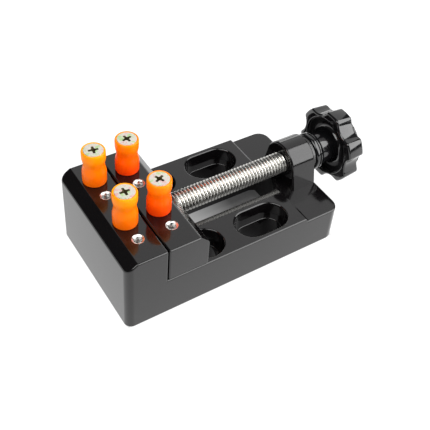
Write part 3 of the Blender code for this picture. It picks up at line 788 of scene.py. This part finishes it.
def make_sliding_jaw():
    side_view = [
        (JAW_FRONT, JAW_BOTTOM),
        (JAW_BACK, JAW_BOTTOM),
        (JAW_BACK, JAW_TOP - BACK_CHAMFER),
        (JAW_BACK - BACK_CHAMFER, JAW_TOP),
        (JAW_FRONT, JAW_TOP),
    ]
    jaw = upright(prism("sliding_jaw_body", side_view, -BASE_WIDTH / 2, BASE_WIDTH / 2))
    round_edges(jaw, EDGE_ROUND)
    radius = TONGUE_WIDTH / 2
    tongue_outline = [(TONGUE_START, radius), (TONGUE_START, -radius)]
    tongue_outline += arc((TONGUE_END - radius, 0), radius, -pi / 2, pi / 2, 24)
    combine(jaw, prism("tongue", tongue_outline, JAW_LOW.z, JAW_BOTTOM + TONGUE_ROOT), "UNION")
    jaw.data.transform(Matrix.Translation((START, 0, 0)))
    bore_radius = SPINDLE_RADIUS + JAW_BORE_FIT
    counterbore_start = JAW_BACK - COUNTERBORE_DEPTH
    bore_end = JAW_BACK + PAST
    bore = turned("cutter", [
        (0.0, JAW_BORE_START),
        (bore_radius, JAW_BORE_START),
        (bore_radius, counterbore_start),
        (COUNTERBORE_RADIUS, counterbore_start),
        (COUNTERBORE_RADIUS, JAW_BACK - COUNTERBORE_LIP),
        (COUNTERBORE_RADIUS + COUNTERBORE_LIP + PAST, bore_end),
        (0.0, bore_end),
    ])
    combine(jaw, about_spindle(bore))
    for node in ("retaining_pin_near", "retaining_pin_far", "keeper_screw_front", "keeper_screw_rear"):
        low, high = [Vector(corner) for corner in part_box(node)]
        radius = PIN_HOLE_RADIUS if node.startswith("retaining") else KEEPER_HOLE_RADIUS
        cutter = turned("cutter", [
            (0.0, JAW_LOW.z - PAST),
            (radius, JAW_LOW.z - PAST),
            (radius, high.z + HOLE_END_GAP),
            (0.0, high.z + HOLE_END_GAP),
        ], 32)
        cutter.data.transform(Matrix.Translation(((low.x + high.x) / 2, (low.y + high.y) / 2, 0)))
        combine(jaw, cutter)
    for y in POST_Y + OPEN_HOLE_Y:
        tapped_hole(jaw, SLIDING_POST_X, y)
    smooth(jaw)
    finish_piece(jaw, PAINT, "moving_jaw", ["moving_jaw"])
    for y, side in zip(OPEN_HOLE_Y, ("far", "near")):
        tapped_thread("sliding_jaw_thread_" + side, SLIDING_POST_X, y, "moving_jaw")


# ---------------------------------------------------------------- spindle and knob

def thread_radius(phase):
    """Radius of a vee thread with flat roots and crests, for a phase from 0 to 1 within its pitch."""
    root_share = 0.10
    flank_share = 0.72
    rise = abs(2 * (phase % 1.0) - 1)
    height = min(1.0, max(0.0, (rise - root_share) / flank_share))
    return SPINDLE_RADIUS - THREAD_DEPTH * (1 - height)


def make_spindle():
    """The spindle with its helical thread, the neck that the pins hold and chamfered ends."""
    start = SPINDLE_LOW.x - START
    end = SPINDLE_HIGH.x - START
    neck_low = 26.4 * MM
    neck_high = 29.6 * MM
    neck_radius = 2.9 * MM
    point = 0.8 * MM
    around = 48
    per_pitch = 10
    count = ceil((end - start) / (THREAD_PITCH / per_pitch))
    shape = bmesh.new()
    rings = []
    for k in range(count + 1):
        x = start + (end - start) * k / count
        ring = []
        for i in range(around):
            angle = 2 * pi * i / around
            chamfered = SPINDLE_RADIUS - point + min(x - start, end - x)
            radius = min(thread_radius(x / THREAD_PITCH - i / around), chamfered)
            if neck_low < x < neck_high:
                radius = neck_radius
            spot = (along(x), radius * cos(angle), SPINDLE_Z + radius * sin(angle))
            ring.append(shape.verts.new(spot))
        rings.append(ring)
    for low, high in zip(rings, rings[1:]):
        join_rings(shape, low, high, around)
    shape.faces.new(list(reversed(rings[0])))
    shape.faces.new(rings[-1])
    spindle = from_bmesh(shape, "threaded_spindle")
    smooth(spindle, 60.0, False)
    finish_piece(spindle, THREAD_ZINC, "spindle", ["lead_screw"])


KNOB_LOBES = 6
KNOB_FIRST_LOBE = radians(5.0)
KNOB_RADIUS = 16.9 * MM
SCALLOP_RADIUS = 7.6 * MM
SCALLOP_DEPTH = 2.7 * MM
LOBE_ROUND = 0.9 * MM


def knob_outline_radius(angle):
    """Radius of the star outline: a circle with a scallop between each pair of lobes."""
    sector = 2 * pi / KNOB_LOBES
    from_lobe = (angle - KNOB_FIRST_LOBE) % sector
    from_scallop = from_lobe - sector / 2
    centre = KNOB_RADIUS - SCALLOP_DEPTH + SCALLOP_RADIUS
    across = centre * sin(from_scallop)
    if abs(across) >= SCALLOP_RADIUS:
        return KNOB_RADIUS
    reach = centre * cos(from_scallop) - (SCALLOP_RADIUS ** 2 - across ** 2) ** 0.5
    return soft_min(KNOB_RADIUS, reach, LOBE_ROUND)


def soft_min(a, b, blend):
    """The lesser of two lengths, with the corner between them rounded off."""
    h = max(blend - abs(a - b), 0.0) / blend
    return min(a, b) - h * h * blend / 4


def make_knob():
    """The star knob: a stepped hub, a dished front, scalloped lobes and a pocket for the nut."""
    front = KNOB_LOW.x - START
    back = KNOB_HIGH.x - START
    rim_front = 111.5 * MM
    rim_back = back - 1.0 * MM
    inner = SPINDLE_RADIUS + 0.3 * MM
    hub = 8.2 * MM
    neck = 7.2 * MM
    dish = DISH_RADIUS
    dish_floor = rim_front + 2.8 * MM
    pocket = 8.2 * MM
    pocket_floor = back - 3.6 * MM
    groove = 0.45 * MM
    hub_profile = [
        (inner, front + 0.3 * MM),
        (inner + 0.3 * MM, front),
        (hub - 0.5 * MM, front),
        (hub, front + 0.5 * MM),
        (hub, front + 1.5 * MM),
        (hub - groove, front + 1.8 * MM),
        (hub - groove, front + 2.1 * MM),
        (hub, front + 2.4 * MM),
        (hub, front + 3.5 * MM),
        (hub - 0.4 * MM, front + 3.9 * MM),
        (neck, front + 4.1 * MM),
        (neck, dish_floor - 1.4 * MM),
        (neck + 0.4 * MM, dish_floor - 0.5 * MM),
        (neck + 1.3 * MM, dish_floor),
        (dish - 1.6 * MM, dish_floor),
        (dish - 0.7 * MM, dish_floor - 0.4 * MM),
        (dish - 0.25 * MM, rim_front + 0.5 * MM),
        (dish, rim_front + 0.08 * MM),
        (dish + 0.3 * MM, rim_front),
    ]
    back_profile = [
        (dish, rim_back + 0.65 * MM),
        (pocket + 0.5 * MM, back),
        (pocket, back - 0.4 * MM),
        (pocket, pocket_floor),
        (inner, pocket_floor),
    ]
    round_off = 1.0 * MM
    taper = 0.5 * MM
    quarter_turn = [(pi / 2) * k / 5 for k in range(6)]
    rim = [
        (round_off * (1 - sin(angle)), rim_front + round_off * (1 - cos(angle)))
        for angle in quarter_turn
    ]
    rim += [
        (taper + round_off * (1 - cos(angle)), rim_back - round_off * (1 - sin(angle)))
        for angle in quarter_turn
    ]
    around = 180
    shape = bmesh.new()
    rings = []

    def add_ring(radius_at, x):
        ring = []
        for i in range(around):
            angle = 2 * pi * i / around
            radius = radius_at(angle)
            spot = (along(x), -radius * sin(angle), SPINDLE_Z + radius * cos(angle))
            ring.append(shape.verts.new(spot))
        rings.append(ring)

    for radius, x in hub_profile:
        add_ring(lambda angle: radius, x)
    for inset, x in rim:
        add_ring(lambda angle: knob_outline_radius(angle) - inset, x)
    for radius, x in back_profile:
        add_ring(lambda angle: radius, x)
    for low, high in zip(rings, rings[1:] + rings[:1]):
        join_rings(shape, low, high, around)
    knob = from_bmesh(shape, "lobed_knob")
    smooth(knob, 50.0, False)
    finish_piece(knob, PLASTIC, "spindle", ["star_knob"])


# ---------------------------------------------------------------- posts

def make_sleeve(name, x, y):
    """A waisted sleeve with rolled rims, standing on the jaw."""
    foot = JAW_TOP + 0.05 * MM
    top = JAW_TOP + POST_HEIGHT
    full = 4.75 * MM
    rim = 4.7 * MM
    waist = 4.15 * MM
    waist_start = foot + 4.6 * MM
    waist_length = 7.6 * MM
    bore = 2.1 * MM
    profile = [
        (bore, foot),
        (full - 0.45 * MM, foot),
        (full - 0.12 * MM, foot + 0.15 * MM),
        (full, foot + 0.5 * MM),
        (full, foot + 4.4 * MM),
    ]
    steps = 14
    for k in range(steps + 1):
        t = k / steps
        hollow = (1 - cos(2 * pi * t)) / 2
        side = full if t < 0.5 else rim
        profile.append((side - (side - waist) * hollow, waist_start + waist_length * t))
    profile += [
        (rim, top - 0.9 * MM),
        (rim - 0.08 * MM, top - 0.35 * MM),
        (rim - 0.28 * MM, top - 0.06 * MM),
        (rim - 0.42 * MM, top),
        (4.05 * MM, top - 0.14 * MM),
        (bore, top - 2.4 * MM),
    ]
    sleeve = turned(name, profile, 72, closed=True)
    sleeve.data.transform(Matrix.Translation((along(x), y, 0)))
    smooth(sleeve, 40.0, False)
    return sleeve


def make_screw(name, x, y, turn):
    """A countersunk screw with a cross recess cut to a tapering point."""
    top = JAW_TOP + POST_HEIGHT - 0.05 * MM
    head = 3.9 * MM
    shank = 1.7 * MM
    tip = JAW_TOP - 12.5 * MM
    profile = [
        (0.0, tip),
        (shank - 0.5 * MM, tip),
        (shank, tip + 0.6 * MM),
        (shank, top - 2.2 * MM),
        (head, top - 0.32 * MM),
        (head + 0.02 * MM, top - 0.22 * MM),
        (head - 0.06 * MM, top - 0.06 * MM),
        (head - 0.25 * MM, top),
        (0.0, top),
    ]
    screw = turned(name, profile, 64)
    screw.data.transform(Matrix.Translation((along(x), y, 0)))
    screw.data.materials.append(PASSIVATED)
    screw.data.materials.append(RECESS)
    place = Matrix.Translation((along(x), y, top)) @ Matrix.Rotation(turn, 4, "Z")
    span = 2.0 * MM
    blade = 0.5 * MM
    depth = 1.9 * MM
    for quarter in (0.0, pi / 2):
        rotated = place @ Matrix.Rotation(quarter, 4, "Z")
        upper = [(-span, -blade), (span, -blade), (span, blade), (-span, blade)]
        lower = [(u * 0.32, v * 0.6) for u, v in upper]
        above = [(u * 1.1, v * 1.05) for u, v in upper]
        cutter = loft("cutter", [
            (rounded(lower, 0.2 * MM), -depth),
            (rounded(upper, 0.35 * MM), -0.1 * MM),
            (rounded(above, 0.35 * MM), 0.5 * MM),
        ])
        cutter.data.transform(rotated)
        cutter.data.materials.append(RECESS)
        combine(screw, cutter, solver="EXACT")
    centre = turned("cutter", [
        (0.0, -1.7 * MM),
        (0.7 * MM, -1.4 * MM),
        (1.05 * MM, 0.3 * MM),
        (0.0, 0.3 * MM),
    ], 32)
    centre.data.transform(place)
    centre.data.materials.append(RECESS)
    combine(screw, centre, solver="EXACT")
    smooth(screw, 35.0)
    return screw


POSTS = (
    ("fixed_far", FIXED_POST_X, POST_Y[0], radians(-11.0), ORANGE_FIXED),
    ("fixed_near", FIXED_POST_X, POST_Y[1], radians(0.0), ORANGE_FIXED),
    ("moving_far", SLIDING_POST_X, POST_Y[0], radians(12.0), ORANGE_MOVING),
    ("moving_near", SLIDING_POST_X, POST_Y[1], radians(26.0), ORANGE_MOVING),
)


def make_posts():
    for name, x, y, turn, material in POSTS:
        sleeve = make_sleeve("waisted_post_" + name, x, y)
        finish_piece(sleeve, material, "post_" + name, ["post_sleeve_" + name])
        screw = make_screw("countersunk_screw_" + name, x, y, turn)
        finish_piece(
            screw, PASSIVATED, "post_screw_" + name, ["post_screw_" + name]
        )


# ---------------------------------------------------------------- CAD parts that keep their shape

def finish_hardware():
    finishes = {
        "keeper_plate": STEEL,
        "keeper_screw_front": ZINC,
        "keeper_screw_rear": ZINC,
        "keeper_washer_front": ZINC,
        "keeper_washer_rear": ZINC,
        "retaining_pin_near": STEEL,
        "retaining_pin_far": STEEL,
        "thrust_washer": DARKENED_STEEL,
        "knob_nut": ZINC,
    }
    for name, material in finishes.items():
        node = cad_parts[name]
        for material_slot in node.material_slots:
            material_slot.material = material


# ---------------------------------------------------------------- studio

FLOOR_HALF_SIZE = 1.5
FLOOR_DROP = 0.3 * MM
BACKDROP_STRENGTH = 0.06
VISE_MIDDLE = (0, 0, 0.02)

# Each light's name, place, the point that it faces, its size and its power in watts.
SOFTBOXES = (
    ("overhead", (0.36, 0.5, 0.62), VISE_MIDDLE, (0.75, 0.75), 1.7),
    ("left_top", (-0.36, -0.14, 0.58), VISE_MIDDLE, (0.5, 0.5), 3.6),
    ("low_right", (0.62, 0.50, 0.17), VISE_MIDDLE, (0.6, 0.2), 0.8),
    ("near_right", (0.34, -0.34, 0.40), (0.03, 0, 0.03), (0.7, 0.75), 8.5),
)


def softbox(name, place, target, size, power):
    """A rectangular area light turned to face a point."""
    data = bpy.data.lights.new(name, "AREA")
    data.shape = "RECTANGLE"
    data.size, data.size_y = size
    data.energy = power
    lamp = link(bpy.data.objects.new(name, data))
    lamp.location = place
    lamp.rotation_euler = (Vector(target) - Vector(place)).to_track_quat("-Z", "Y").to_euler()


def make_studio():
    ground = bmesh.new()
    corners = ((-1, -1), (1, -1), (1, 1), (-1, 1))
    ground.faces.new([
        ground.verts.new((u * FLOOR_HALF_SIZE, v * FLOOR_HALF_SIZE, -FLOOR_DROP)) for u, v in corners
    ])
    floor_plane = from_bmesh(ground, "studio_floor")
    floor_plane.data.materials.append(FLOOR)

    world = bpy.data.worlds.new("studio")
    bpy.context.scene.world = world
    world.use_nodes = True
    backdrop = world.node_tree.nodes["Background"]
    backdrop.inputs["Color"].default_value = (1.0, 1.0, 1.0, 1.0)
    backdrop.inputs["Strength"].default_value = BACKDROP_STRENGTH

    for light in SOFTBOXES:
        softbox(*light)
    bpy.context.scene.view_settings.view_transform = "Standard"


def make_camera():
    """A long lens from the fixed jaw's near corner, high up, shifted slightly off its axis."""
    data = bpy.data.cameras.new("camera")
    data.sensor_width = 36.0
    data.lens = 63.95
    data.shift_x = -0.0233
    data.shift_y = -0.1279
    camera = link(bpy.data.objects.new("camera", data))
    camera.location = (-0.13758, -0.18264, 0.23763)
    camera.rotation_euler = Euler((radians(48.553), radians(-4.165), radians(-32.917)), "XYZ")
    bpy.context.scene.camera = camera


make_camera()
make_base()
make_sliding_jaw()
make_spindle()
make_knob()
make_posts()
finish_hardware()
make_studio()
